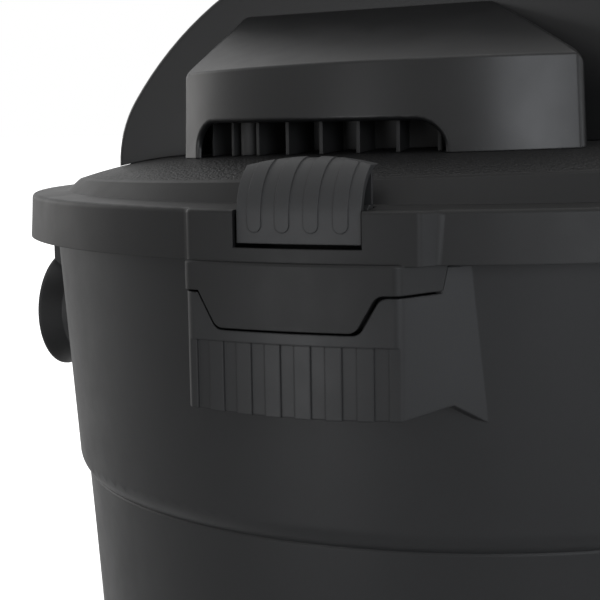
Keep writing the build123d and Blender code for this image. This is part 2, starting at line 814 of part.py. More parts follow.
def vent_shape(grow):
    """The hood's air vent seen square on: a slot with a round-cornered top."""
    high = vent_high + grow - rim
    low = vent_low - 16.0 - rim
    with BuildSketch(vent_plane.offset(hood_radius - 45.0)) as shape:
        with Locations((0, (low + high) / 2)):
            Rectangle(2 * (vent_half_width + grow), high - low)
        fillet(shape.vertices().group_by(Axis.Y)[-1], vent_corner_radius + grow)
    return shape.sketch


def on_vent_lip(edge):
    """True for an edge of either vent's opening in the hood's outer face."""
    middle = edge.center()
    place = vent_plane.to_local_coords(Vector(abs(middle.X), middle.Y, middle.Z))
    across = abs(place.X) < vent_half_width + 1.0
    upright = 2.0 < place.Y < vent_high - rim + 1.0
    return across and upright and place.Z > hood_radius - 30.0


with BuildPart() as motor_cover:
    cover_form(0)
    # vents low in the front wall of each hood, rolled in at the lip
    with BuildPart(mode=Mode.PRIVATE) as vent:
        extrude(vent_shape(0), amount=90.0)
    add(vent.part, mode=Mode.SUBTRACT)
    mirror(vent.part, about=Plane.YZ, mode=Mode.SUBTRACT)
    fillet(motor_cover.edges().filter_by(on_vent_lip), vent_lip_round)
    cover_form(shell_wall, Mode.SUBTRACT)
    for x, y in cover_screw_places:
        disc(5.0, rim + crown_rise, spine_height(y) - 6.0, at=(x, y))
    for x, y in handle_screw_places:
        disc(7.0, spine_height(y) - 16.0, spine_height(y) - 4.0, at=(x, y))
    lid_form(-seat_gap, Mode.SUBTRACT)
    for x, y in cover_screw_places:
        disc(1.6, rim, rim + 60.0, at=(x, y), mode=Mode.SUBTRACT)
    for x, y in handle_screw_places:
        disc(2.2, rim + 60.0, rim + 200.0, at=(x, y), mode=Mode.SUBTRACT)
    # holes for the blower port, the cord inlet and the switch
    with BuildSketch(Plane.XZ.offset(-blower_inner_y)):
        with Locations((0, blower_z)):
            Circle(blower_outer_radius + seat_gap)
        with Locations((gland_x, rim + gland_rise)):
            Circle(gland_radius + seat_gap)
    extrude(amount=-100.0, mode=Mode.SUBTRACT)
    with BuildSketch(switch_plane.offset(-12.0)):
        Rectangle(rocker_width + 6.0, rocker_length + 6.0)
    extrude(amount=20.0, mode=Mode.SUBTRACT)
save(motor_cover, "motor_cover")


def vent_baffle():
    """Inner wall behind a vent, with upright fins and a screw pillar."""
    high = vent_high + 4.0
    with BuildPart() as baffle:
        with BuildSketch(Plane.XZ) as wall:
            with Locations((baffle_radius, rim + 30.0)):
                Rectangle(3.0, 2 * (high - rim - 30.0))
        with BuildPart(mode=Mode.PRIVATE) as arc_wall:
            revolve(wall.sketch, axis=Axis.Z, revolution_arc=(baffle_fin_count - 1) * baffle_fin_pitch)
        add(arc_wall.part.rotate(Axis.Z, baffle_fin_start))
        for n in range(baffle_fin_count):
            angle = baffle_fin_start + n * baffle_fin_pitch
            with BuildPart(mode=Mode.PRIVATE) as fin:
                block(baffle_radius, baffle_radius + baffle_depth, -1.0, 1.0, rim, high)
            add(fin.part.rotate(Axis.Z, angle))
        pillar_angle = radians(baffle_fin_start + 2.0 * baffle_fin_pitch - 4.2)
        pillar_reach = baffle_radius + baffle_depth - 7.0
        disc(6.0, rim, high, at=(pillar_reach * cos(pillar_angle), pillar_reach * sin(pillar_angle)))
        lid_form(-seat_gap, Mode.SUBTRACT)
    return baffle.part


with BuildPart() as baffle_right:
    add(vent_baffle())
save(baffle_right, "vent_baffle_right")

with BuildPart() as baffle_left:
    mirror(baffle_right.part, about=Plane.YZ)
save(baffle_left, "vent_baffle_left")

with BuildPart() as cover_screws:
    for x, y in cover_screw_places:
        low = crown_height(x, y) - shell_wall - running_gap - 0.1
        disc(4.0, low - 2.6, low, at=(x, y))
        disc(2.0, low - 0.5, low + shell_wall, at=(x, y))
        disc(1.5, low, low + 19.0, at=(x, y))
save(cover_screws, "cover_screws")

# carry handle: an arched bar that stands on the spine's back
with BuildPart() as carry_handle:
    crest = rim_height + (spine_top_z + spine_top_radius - rim_height) + handle_height
    with BuildSketch(Plane.YZ.offset(-handle_half_width)) as side_view:
        with BuildLine():
            Polyline(
                (-handle_half_length, crest - handle_height - 25.0),
                (-handle_half_length, crest - handle_height - 4.0),
                (-handle_half_length + 26.0, crest - 7.0),
            )
            ThreePointArc(
                (-handle_half_length + 26.0, crest - 7.0),
                (0, crest),
                (handle_half_length - 26.0, crest - 7.0),
            )
            Polyline(
                (handle_half_length - 26.0, crest - 7.0),
                (handle_half_length, crest - handle_height - 4.0),
                (handle_half_length, crest - handle_height - 25.0),
                (-handle_half_length, crest - handle_height - 25.0),
            )
        make_face()
        with BuildLine():
            gap_half = handle_half_length - handle_foot
            gap_top = crest - handle_bar
            Polyline(
                (-gap_half + 12.0, gap_top - 5.0),
                (-gap_half, crest - handle_height - 12.0),
                (-gap_half, crest - handle_height - 30.0),
                (gap_half, crest - handle_height - 30.0),
                (gap_half, crest - handle_height - 12.0),
                (gap_half - 12.0, gap_top - 5.0),
            )
            ThreePointArc((gap_half - 12.0, gap_top - 5.0), (0, gap_top), (-gap_half + 12.0, gap_top - 5.0))
        make_face(mode=Mode.SUBTRACT)
    extrude(side_view.sketch, amount=2 * handle_half_width)
    grip_edges = carry_handle.edges().filter_by(
        lambda e: abs(abs(e.center().X) - handle_half_width) < 0.1 and e.center().Z > crest - handle_height + 14.0)
    fillet(grip_edges, handle_round)
    cover_form(-seat_gap, Mode.SUBTRACT)
    for x, y in handle_screw_places:
        disc(1.6, spine_height(y) - 5.0, spine_height(y) + 16.0, at=(x, y), mode=Mode.SUBTRACT)
save(carry_handle, "carry_handle")

with BuildPart() as handle_screws:
    for x, y in handle_screw_places:
        under = spine_height(y) - 16.0
        disc(4.0, under - 2.8, under - seat_gap, at=(x, y))
        disc(1.5, under - 1.0, spine_height(y) + 12.0, at=(x, y))
save(handle_screws, "handle_screws")

# ---------------------------------------------------------------- switch
with BuildPart() as switch_bezel:
    with BuildSketch(switch_plane.offset(-12.0)) as plate:
        RectangleRounded(bezel_width, bezel_length, 4.0)
    extrude(plate.sketch, amount=14.0)
    cover_form(-seat_gap, Mode.SUBTRACT)
    with BuildSketch(switch_plane.offset(-13.5)) as well:
        Rectangle(rocker_width + 5.0, rocker_length + 5.0)
    extrude(well.sketch, amount=14.0)
    with BuildSketch(switch_plane.offset(-11.5)) as pocket:
        Rectangle(rocker_width + 1.0, rocker_length + 1.0)
    extrude(pocket.sketch, amount=16.0, mode=Mode.SUBTRACT)
    with BuildSketch(switch_side.offset(-rocker_width / 2 - 1.8)) as trunnion_holes:
        with Locations((0, -4.0)):
            Circle(1.5)
    extrude(trunnion_holes.sketch, amount=rocker_width + 3.6, mode=Mode.SUBTRACT)
save(switch_bezel, "switch_bezel")

rocker_axis_point = switch_plane.from_local_coords((0, 0, -4.0))
with BuildPart() as switch_rocker:
    with BuildSketch(switch_side.offset(-rocker_width / 2 + 0.3)) as wedge:
        with BuildLine():
            half = rocker_length / 2 - 0.8
            Polyline((-half, -6.0), (-half, 3.4), (0, 2.2), (half, 3.4), (half, -6.0), (0, -7.0), close=True)
        make_face()
    extrude(wedge.sketch, amount=rocker_width - 0.6)
    with BuildSketch(switch_side.offset(-rocker_width / 2 - 1.6)) as trunnion:
        with Locations((0, -4.0)):
            Circle(1.5 - shaft_gap)
    extrude(trunnion.sketch, amount=rocker_width + 3.2)
    tilted = switch_rocker.part.rotate(Axis(rocker_axis_point, (1, 0, 0)), rocker_tilt)
    add(tilted, mode=Mode.REPLACE)
save(switch_rocker, "switch_rocker")

# ---------------------------------------------------------------- blower port and cord inlet
with BuildPart() as blower_port:
    with BuildSketch(Plane.XZ.offset(-blower_inner_y)) as tube:
        with Locations((0, blower_z)):
            Circle(blower_outer_radius)
    extrude(tube.sketch, amount=-(blower_reach - blower_inner_y))
    with BuildSketch(Plane.XZ.offset(-blower_reach + 6.0)) as lip_ring:
        with Locations((0, blower_z)):
            Circle(blower_outer_radius + 2.0)
    extrude(lip_ring.sketch, amount=-6.0)
    with BuildSketch(Plane.XZ.offset(-blower_inner_y)) as inner_flange:
        with Locations((0, blower_z)):
            Circle(blower_outer_radius + 5.0)
    extrude(inner_flange.sketch, amount=-3.0)
    with BuildSketch(Plane.XZ.offset(-blower_inner_y)) as bore:
        with Locations((0, blower_z)):
            Circle(port_bore_radius)
    extrude(bore.sketch, amount=-(blower_reach - blower_inner_y), mode=Mode.SUBTRACT)
save(blower_port, "blower_port")

with BuildPart() as cord_gland:
    with BuildSketch(Plane.XZ.offset(-gland_reach + 38.0)) as sleeve:
        with Locations((gland_x, rim + gland_rise)):
            Circle(gland_radius)
    extrude(sleeve.sketch, amount=-38.0)
    with BuildSketch(Plane.XZ.offset(-gland_reach)) as bore:
        with Locations((gland_x, rim + gland_rise)):
            Circle(cord_radius)
    extrude(bore.sketch, amount=14.0, mode=Mode.SUBTRACT)
save(cord_gland, "cord_gland")

# ---------------------------------------------------------------- hose inlet
with BuildPart() as inlet_port:
    front = port_reach
    seat = port_boss_reach + seat_gap
    with BuildSketch(Plane.YZ) as section:
        with BuildLine():
            Polyline(
                (-seat + 26.0, port_z + port_bore_radius),
                (-seat + 26.0, port_z + port_outer_radius),
                (-seat, port_z + port_outer_radius),
                (-seat, port_z + port_boss_radius - 2.0),
                (-seat - port_flange, port_z + port_boss_radius - 2.0),
                (-seat - port_flange, port_z + port_outer_radius),
                (-front + port_flare_length, port_z + port_outer_radius),
                (-front + 2.0, port_z + port_flare_radius - 0.5),
                (-front + 1.0, port_z + port_flare_radius),
                (-front, port_z + port_flare_radius),
                (-front, port_z + port_bore_radius),
                close=True,
            )
        make_face()
    revolve(section.sketch, axis=Axis((0, 0, port_z), (0, 1, 0)))
    # housing of the hose lock on top of the port
    block(-lock_width / 2, lock_width / 2, -port_reach + lock_setback, -seat - port_flange + 1.0,
          port_z + port_bore_radius + 1.0, port_z + port_boss_radius + 9.0)
    block(-lock_width / 2 + 3.0, lock_width / 2 - 3.0, -port_reach + lock_setback + shell_wall, -seat - port_flange - 6.0,
          port_z + port_bore_radius + 3.0, port_z + port_boss_radius + 10.0, Mode.SUBTRACT)
    block(-3.0, 3.0, -port_reach + 18.0, -port_reach + 26.0,
          port_z + port_bore_radius - 5.0, port_z + port_boss_radius, Mode.SUBTRACT)
    with BuildSketch(Plane.XZ.offset(seat)) as holes:
        with Locations((0, port_z)):
            with PolarLocations(port_screw_circle, 4, start_angle=45):
                Circle(2.1)
    extrude(holes.sketch, amount=port_flange, mode=Mode.SUBTRACT)
save(inlet_port, "inlet_port")

with BuildPart() as lock_button:
    block(-lock_width / 2 + 3.4, lock_width / 2 - 3.4, -port_reach + lock_setback + shell_wall + 0.4, -port_boss_reach - port_flange - 6.6,
          port_z + port_bore_radius + 3.4 + lock_travel, port_z + port_boss_radius + 12.0)
    fillet(lock_button.edges().filter_by(Axis.Z), 2.0)
    fillet(lock_button.faces().sort_by(Axis.Z)[-1].edges(), 1.2)
    block(-2.6, 2.6, -port_reach + 18.4, -port_reach + 25.6,
          port_z + port_bore_radius + 0.4, port_z + port_boss_radius)
save(lock_button, "hose_lock_button")

with BuildPart() as port_screws:
    with BuildSketch(Plane.XZ.offset(port_boss_reach + seat_gap + port_flange)) as heads:
        with Locations((0, port_z)):
            with PolarLocations(port_screw_circle, 4, start_angle=45):
                Circle(3.6)
    extrude(heads.sketch, amount=2.2)
    with BuildSketch(Plane.XZ.offset(port_boss_reach - 8.0)) as shanks:
        with Locations((0, port_z)):
            with PolarLocations(port_screw_circle, 4, start_angle=45):
                Circle(1.5)
    extrude(shanks.sketch, amount=8.0 + seat_gap + port_flange)
save(port_screws, "port_screws")

# deflector that turns the stream downwards inside the drum
deflector_y = -port_boss_reach + 26.0 + seat_gap
with BuildPart() as inlet_deflector:
    with BuildSketch(Plane.XZ.offset(-deflector_y)) as root:
        with Locations((0, port_z)):
            Circle(port_outer_radius + 3.0)
            Circle(port_outer_radius + 0.0, mode=Mode.SUBTRACT)
    extrude(root.sketch, amount=10.0)
    with BuildSketch(Plane.XZ.offset(-deflector_y)) as hood_ring:
        with Locations((0, port_z)):
            Circle(port_outer_radius + 3.0)
            Circle(port_outer_radius, mode=Mode.SUBTRACT)
            with Locations((0, -port_outer_radius)):
                Rectangle(4 * port_outer_radius, 2 * port_outer_radius, mode=Mode.SUBTRACT)
    extrude(hood_ring.sketch, amount=-34.0)
    with BuildSketch(Plane.XZ.offset(-deflector_y - 34.0)) as end_plate:
        with Locations((0, port_z)):
            Circle(port_outer_radius + 3.0)
            with Locations((0, -1.5 * port_outer_radius)):
                Rectangle(4 * port_outer_radius, 2 * port_outer_radius, mode=Mode.SUBTRACT)
    extrude(end_plate.sketch, amount=3.0)
    drum_form(shell_wall + seat_gap, Mode.INTERSECT)
save(inlet_deflector, "inlet_deflector")

# ---------------------------------------------------------------- drain
with BuildPart() as drain_cap:
    with BuildSketch(Plane.XZ.offset(-drain_reach + 16.0)) as skirt:
        with Locations((0, drain_height)):
            Circle(drain_radius + 0.4 + drain_cap_wall)
    extrude(skirt.sketch, amount=-(16.0 + 2.0 + seat_gap + drain_cap_wall))
    with BuildSketch(Plane.XZ.offset(-drain_reach + 16.0)) as hollow:
        with Locations((0, drain_height)):
            Circle(drain_radius + 0.4)
    extrude(hollow.sketch, amount=-(16.0 + 2.0 + seat_gap), mode=Mode.SUBTRACT)
    # finger lobes round the rim
    with BuildSketch(Plane.XZ.offset(-drain_reach + 16.0)) as lobes:
        with Locations((0, drain_height)):
            with PolarLocations(drain_radius + drain_cap_wall + 1.4, 12):
                Circle(2.2)
    extrude(lobes.sketch, amount=-(16.0 + 2.0 + seat_gap + drain_cap_wall))
save(drain_cap, "drain_cap")

with BuildPart() as drain_seal:
    with BuildSketch(Plane.XZ.offset(-drain_reach - seat_gap)) as ring:
        with Locations((0, drain_height)):
            Circle(drain_radius - 0.5)
            Circle(drain_bore_radius, mode=Mode.SUBTRACT)
    extrude(ring.sketch, amount=-2.0)
save(drain_seal, "drain_seal")

# ---------------------------------------------------------------- casters
foot_height = floor_clearance - fork_top - running_gap
fork_length = caster_trail + wheel_bore_radius + 3.0
caster_angles = (45, 135, 225, 315)
axle_radius = wheel_bore_radius - shaft_gap

with BuildPart() as caster_feet:
    for angle in caster_angles:
        at = (caster_circle * cos(radians(angle)), caster_circle * sin(radians(angle)))
        disc(foot_radius, floor_clearance - foot_height, floor_clearance, hole=stem_radius + shaft_gap, at=at)
    fillet(caster_feet.faces().filter_by(Axis.Z).group_by(Axis.Z)[0].edges().filter_by(
        lambda e: e.radius > stem_radius + 1.0), 4.0)
save(caster_feet, "caster_feet")

with BuildPart() as fork:
    half = wheel_width / 2 + 1.0 + fork_wall
    # crown, stem and two arms that lean back to the axle
    with BuildSketch(Plane.XY.offset(fork_top - fork_wall)) as crown_plate:
        SlotCenterToCenter(fork_length, 2 * half)
    extrude(crown_plate.sketch, amount=fork_wall)
    with BuildSketch(Plane.XZ.offset(-half)) as arm:
        with BuildLine():
            Polyline(
                (-11.0, fork_top - fork_wall + 0.5),
                (fork_length / 2 + 6.0, fork_top - fork_wall + 0.5),
                (caster_trail + 7.0, wheel_radius - 4.0),
                (caster_trail - 7.0, wheel_radius - 4.0),
                close=True,
            )
        make_face()
        fillet(arm.vertices().group_by(Axis.Y)[0], 5.0)
    extrude(arm.sketch, amount=2 * half)
    block(-40.0, 60.0, -wheel_width / 2 - 1.0, wheel_width / 2 + 1.0, 0.0, fork_top - fork_wall, Mode.SUBTRACT)
    with BuildSketch(Plane.XZ.offset(-half)) as axle_hole:
        with Locations((caster_trail, wheel_radius)):
            Circle(axle_radius)
    extrude(axle_hole.sketch, amount=2 * half, mode=Mode.SUBTRACT)
    disc(stem_radius, fork_top - 0.5, fork_top + stem_length)

with BuildPart() as wheel:
    with BuildSketch(Plane.XZ.offset(-wheel_width / 2)) as tread:
        with Locations((caster_trail, wheel_radius)):
            Circle(wheel_radius)
    extrude(tread.sketch, amount=wheel_width)
    fillet(wheel.edges().filter_by(GeomType.CIRCLE), 2.0)
    for face_y, depth in ((wheel_width / 2, 5.0), (-wheel_width / 2, -5.0)):
        with BuildSketch(Plane.XZ.offset(-face_y)) as dish:
            with Locations((caster_trail, wheel_radius)):
                Circle(wheel_radius - 6.0)
                Circle(wheel_bore_radius + 4.0, mode=Mode.SUBTRACT)
        extrude(dish.sketch, amount=depth, mode=Mode.SUBTRACT)
    with BuildSketch(Plane.XZ.offset(-wheel_width / 2)) as bore:
        with Locations((caster_trail, wheel_radius)):
            Circle(wheel_bore_radius)
    extrude(bore.sketch, amount=wheel_width, mode=Mode.SUBTRACT)

with BuildPart() as axle:
    half = wheel_width / 2 + 1.0 + fork_wall
    with BuildSketch(Plane.XZ.offset(-half)) as pin:
        with Locations((caster_trail, wheel_radius)):
            Circle(axle_radius)
    extrude(pin.sketch, amount=2 * half)
    for head_y in (-half, half + 1.6):
        with BuildSketch(Plane.XZ.offset(-head_y)) as head:
            with Locations((caster_trail, wheel_radius)):
                Circle(axle_radius + 1.6)
        extrude(head.sketch, amount=1.6)

for n, angle in enumerate(caster_angles, start=1):
    place = (caster_circle * cos(radians(angle)), caster_circle * sin(radians(angle)), 0)
    for piece, name in ((fork, "caster_fork"), (wheel, "caster_wheel"), (axle, "caster_axle")):
        with BuildPart() as placed:
            with Locations(place):
                add(piece.part.rotate(Axis.Z, angle))
        save(placed, f"{name}_{n}")

# ---------------------------------------------------------------- fan, motor and their housings
fan_deck = rim + fan_deck_rise
housing_floor = rim - fan_housing_drop
plate_top = fan_deck + fan_plate_thickness
impeller_low = housing_floor + shell_wall + 2.0
shaft_low = impeller_low
shroud_top = plate_top + motor_height

with BuildPart() as fan_housing:
    disc(fan_flange_radius, fan_deck - shell_wall, fan_deck, hole=fan_housing_radius - shell_wall)
    disc(fan_housing_radius, housing_floor, fan_deck - 0.5, hole=fan_housing_radius - shell_wall)
    disc(fan_housing_radius, housing_floor, housing_floor + shell_wall, hole=fan_inlet_radius)
    with BuildSketch(Plane.XY.offset(fan_deck - shell_wall)) as holes:
        with PolarLocations(housing_screw_circle, 6):
            Circle(2.1)
    extrude(holes.sketch, amount=shell_wall, mode=Mode.SUBTRACT)
    # outlet to the duct that climbs to the blower port
    block(-16.0, 16.0, fan_housing_radius - 6.0, fan_housing_radius + 4.0,
          housing_floor + 8.0, fan_deck - 8.0, Mode.SUBTRACT)
save(fan_housing, "fan_housing")

with BuildPart() as housing_screws:
    with BuildSketch(Plane.XY.offset(fan_deck - shell_wall - 2.2)) as heads:
        with PolarLocations(housing_screw_circle, 6):
            Circle(3.8)
    extrude(heads.sketch, amount=2.2)
    with BuildSketch(Plane.XY.offset(fan_deck - shell_wall)) as shanks:
        with PolarLocations(housing_screw_circle, 6):
            Circle(1.5)
    extrude(shanks.sketch, amount=shell_wall + 8.0)
save(housing_screws, "housing_screws")

with BuildPart() as fan_plate:
    disc(motor_hole_radius - 1.0, fan_deck, plate_top, hole=bearing_radius)
    disc(bearing_radius + 4.0, fan_deck, plate_top + 5.0, hole=bearing_radius)
    with BuildSketch(Plane.XY.offset(fan_deck)) as vents:
        with PolarLocations(motor_radius + 18.0, 12):
            Circle(7.0)
    extrude(vents.sketch, amount=fan_plate_thickness, mode=Mode.SUBTRACT)
save(fan_plate, "fan_plate")

with BuildPart() as motor_shroud:
    disc(motor_radius, plate_top, shroud_top, hole=motor_radius - shell_wall)
    disc(motor_radius + 8.0, plate_top, plate_top + 3.0, hole=motor_radius - shell_wall)
    disc(motor_radius, shroud_top - 3.0, shroud_top, hole=bearing_radius)
    disc(bearing_radius + 4.0, shroud_top - bearing_width, shroud_top + 2.0, hole=bearing_radius)
    with BuildSketch(Plane.XY.offset(shroud_top - 3.0)) as vents:
        with PolarLocations(motor_radius - 18.0, 10):
            Circle(7.0)
    extrude(vents.sketch, amount=3.0, mode=Mode.SUBTRACT)
save(motor_shroud, "motor_shroud")

stator_low = plate_top + 14.0
stator_high = stator_low + stator_height
with BuildPart() as stator:
    with BuildSketch(Plane.XY.offset(stator_low)) as lamination:
        Circle(stator_radius)
        Circle(stator_bore_radius, mode=Mode.SUBTRACT)
        with PolarLocations(stator_bore_radius + coil_window_depth / 2 - 0.3, 2, start_angle=90):
            Rectangle(coil_window_depth, 2 * coil_window_half_width, mode=Mode.SUBTRACT)
    extrude(lamination.sketch, amount=stator_height)
    for angle in (45, 135, 225, 315):
        with BuildPart(mode=Mode.PRIVATE) as lug:
            block(stator_radius - 3.0, motor_radius - shell_wall - 0.4, -4.0, 4.0, stator_low, stator_high)
        add(lug.part.rotate(Axis.Z, angle))
save(stator, "stator")

with BuildPart() as field_coils:
    for angle in (90, 270):
        with BuildPart(mode=Mode.PRIVATE) as coil:
            block(stator_bore_radius + 1.0, stator_bore_radius + coil_window_depth - 0.3 - running_gap,
                  running_gap - coil_window_half_width, coil_window_half_width - running_gap,
                  stator_low - 8.0, stator_high + 8.0)
            fillet(coil.edges().filter_by(Axis.Y), 3.0)
        add(coil.part.rotate(Axis.Z, angle))
save(field_coils, "field_coils")

with BuildPart() as armature:
    disc(shaft_radius, shaft_low, shroud_top - 0.5)
    disc(armature_radius, stator_low + 2.0, stator_high - 2.0)
    with BuildSketch(Plane.XY.offset(stator_low + 2.0)) as slots:
        with PolarLocations(armature_radius - 3.0, 12):
            Rectangle(8.0, 2.4)
    extrude(slots.sketch, amount=stator_height - 4.0, mode=Mode.SUBTRACT)
    disc(armature_radius - 7.0, stator_low - 5.0, stator_high + 5.0)
    disc(14.0, stator_high + 5.0, stator_high + 18.0)
save(armature, "armature")

commutator_z = stator_high + 11.5
with BuildPart() as brushes:
    for angle in (0, 180):
        with BuildPart(mode=Mode.PRIVATE) as holder:
            block(14.0 + running_gap, motor_radius - shell_wall - 0.4, -4.0, 4.0, commutator_z - 4.0, commutator_z + 4.0)
        add(holder.part.rotate(Axis.Z, angle))
save(brushes, "brushes")

bearing_lows = (fan_deck + 1.0, shroud_top - bearing_width)
with BuildPart() as bearings:
    for low in bearing_lows:
        disc(bearing_radius - 0.02, low, low + bearing_width, hole=shaft_radius + shaft_gap)
save(bearings, "bearings")

with BuildPart() as impeller:
    high = impeller_low + impeller_height
    disc(impeller_radius, high - 2.0, high, hole=shaft_radius)
    disc(impeller_radius, impeller_low, impeller_low + 2.0, hole=impeller_eye_radius)
    with BuildSketch(Plane.XY.offset(impeller_low + 1.0)) as blades:
        with PolarLocations((impeller_radius + impeller_eye_radius) / 2, blade_count):
            Rectangle(impeller_radius - impeller_eye_radius - 2.0, 2.0, rotation=28.0)
    extrude(blades.sketch, amount=impeller_height - 2.0)
    disc(14.0, impeller_low + 8.0, high, hole=shaft_radius)
save(impeller, "impeller")

with BuildPart() as impeller_nut:
    with BuildSketch(Plane.XY.offset(impeller_low + 2.0)) as hexagon:
        RegularPolygon(9.0, 6)
        Circle(shaft_radius, mode=Mode.SUBTRACT)
    extrude(hexagon.sketch, amount=6.0)
save(impeller_nut, "impeller_nut")

# ---------------------------------------------------------------- filter cage, float and filter
cage_top = housing_floor
cage_low = rim - cage_drop
float_ring_z = cage_low + float_ring_height
with BuildPart() as filter_cage:
    disc(cage_radius + 18.0, cage_top - 4.0, cage_top, hole=cage_inlet_radius)
    disc(cage_radius, cage_low, cage_low + 3.0)
    for ring_z in (cage_top - 4.0, (cage_top + cage_low) / 2, cage_low):
        disc(cage_radius, ring_z, ring_z + 4.0, hole=cage_radius - cage_wall)
    with BuildSketch(Plane.XY.offset(cage_low)) as bars:
        with PolarLocations(cage_radius - cage_wall / 2 - 0.2, cage_bar_count):
            Rectangle(cage_wall - 0.8, cage_bar_width)
    extrude(bars.sketch, amount=cage_top - cage_low - 2.0)
    disc(float_radius + 4.0, cage_low + 2.0, float_ring_z, hole=float_radius - float_ring_width)
    disc(stud_radius, cage_low - 24.0, cage_low + 1.0)
save(filter_cage, "filter_cage")

float_seat = float_ring_z + sqrt(float_radius**2 - (float_radius - float_ring_width) ** 2) + running_gap
with BuildPart() as float_ball:
    with Locations((0, 0, float_seat)):
        Sphere(float_radius)
save(float_ball, "float_ball")

filter_top = cage_top - 4.0 - seat_gap
filter_low = cage_low - 2.0
with BuildPart() as filter_paper:
    with BuildSketch(Plane.XY.offset(filter_low + filter_cap_thickness)) as pleats:
        with BuildLine():
            points = []
            for n in range(pleat_count):
                for part, radius in ((0.0, filter_outer_radius), (0.5, filter_outer_radius - 13.0)):
                    angle = 2 * 180.0 * (n + part) / pleat_count
                    points.append((radius * cos(radians(angle)), radius * sin(radians(angle))))
            Polyline(*points, close=True)
        make_face()
        Circle(filter_inner_radius + 1.5, mode=Mode.SUBTRACT)
    extrude(pleats.sketch, amount=filter_top - filter_low - 2 * filter_cap_thickness)
save(filter_paper, "filter_paper")

with BuildPart() as filter_caps:
    disc(filter_outer_radius + 1.0, filter_top - filter_cap_thickness, filter_top, hole=filter_inner_radius)
    disc(filter_outer_radius + 1.0, filter_low, filter_low + filter_cap_thickness, hole=filter_inner_radius)
save(filter_caps, "filter_caps")

with BuildPart() as filter_plate:
    disc(filter_outer_radius - 6.0, filter_low - 3.0, filter_low, hole=stud_radius + 0.4)
    disc(filter_inner_radius - 1.0, filter_low - 0.5, cage_low - running_gap, hole=stud_radius + 0.4)
save(filter_plate, "filter_plate")

with BuildPart() as filter_nut:
    low = filter_low - 3.0 - 14.0
    disc(15.0, low, filter_low - 3.0, hole=stud_radius + 0.4)
    for angle in quarter_turns:
        with BuildPart(mode=Mode.PRIVATE) as wing:
            block(12.0, 26.0, -3.0, 3.0, low, filter_low - 3.0)
            fillet(wing.edges().filter_by(Axis.Z).sort_by(Axis.X)[-2:], 2.5)
        add(wing.part.rotate(Axis.Z, angle))
save(filter_nut, "filter_nut")
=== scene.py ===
import math
import bpy
from mathutils import Matrix, Vector


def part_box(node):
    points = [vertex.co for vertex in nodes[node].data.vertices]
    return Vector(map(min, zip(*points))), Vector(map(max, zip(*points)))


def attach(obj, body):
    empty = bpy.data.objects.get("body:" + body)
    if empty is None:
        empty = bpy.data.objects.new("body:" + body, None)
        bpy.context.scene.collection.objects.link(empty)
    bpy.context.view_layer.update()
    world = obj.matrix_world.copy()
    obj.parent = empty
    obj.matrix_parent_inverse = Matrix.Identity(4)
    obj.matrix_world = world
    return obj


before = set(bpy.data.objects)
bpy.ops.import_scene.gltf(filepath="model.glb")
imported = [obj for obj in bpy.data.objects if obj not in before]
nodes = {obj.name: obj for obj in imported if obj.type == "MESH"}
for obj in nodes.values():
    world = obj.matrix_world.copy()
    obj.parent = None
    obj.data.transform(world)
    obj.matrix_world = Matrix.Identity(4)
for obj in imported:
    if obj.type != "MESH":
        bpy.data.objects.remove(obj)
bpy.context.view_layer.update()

scene = bpy.context.scene

# Sizes in metres
rim_over_gasket = 0.0093            # from the gasket's top to the collar's top edge
crown_edge = 0.2375                 # radius where the crown meets its bevel
sheet_thickness = 0.0012            # one steel sheet of the stator
wire_pitch = 0.0009                 # from turn to turn of the field coils
# size of the dark strip of painted shade under the motor cover's foot
shade_strip_half_x, shade_strip_half_y = 0.0865, 0.1885
shade_strip_thick, shade_strip_tall = 0.0016, 0.0045
shade_strip_steps_x, shade_strip_steps_y = 18, 38
floor_half = 40.0
floor_shade_from, floor_shade_to = 0.35, 0.9    # radii between which the floor clears to white

steel = (0.62, 0.63, 0.64)
white = (1, 1, 1, 1)
floor_glow_near = 0.3               # camera glow of the floor under the vacuum
world_level = 0.55                  # the white world's strength as a light

camera_azimuth = math.radians(16.0)             # side of the drum's axis it stands on, from +X
camera_yaw, camera_pitch, camera_roll = 0.1125, 0.1253, -0.0161     # radians
camera_reach = 0.9157               # from the drum's axis
camera_over_rim = 0.04172
focal_per_width = 1439.3 / 600.0    # focal length as a share of the picture's width
sensor_width = 36.0                 # millimetres

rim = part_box("lid_gasket")[1].z + rim_over_gasket


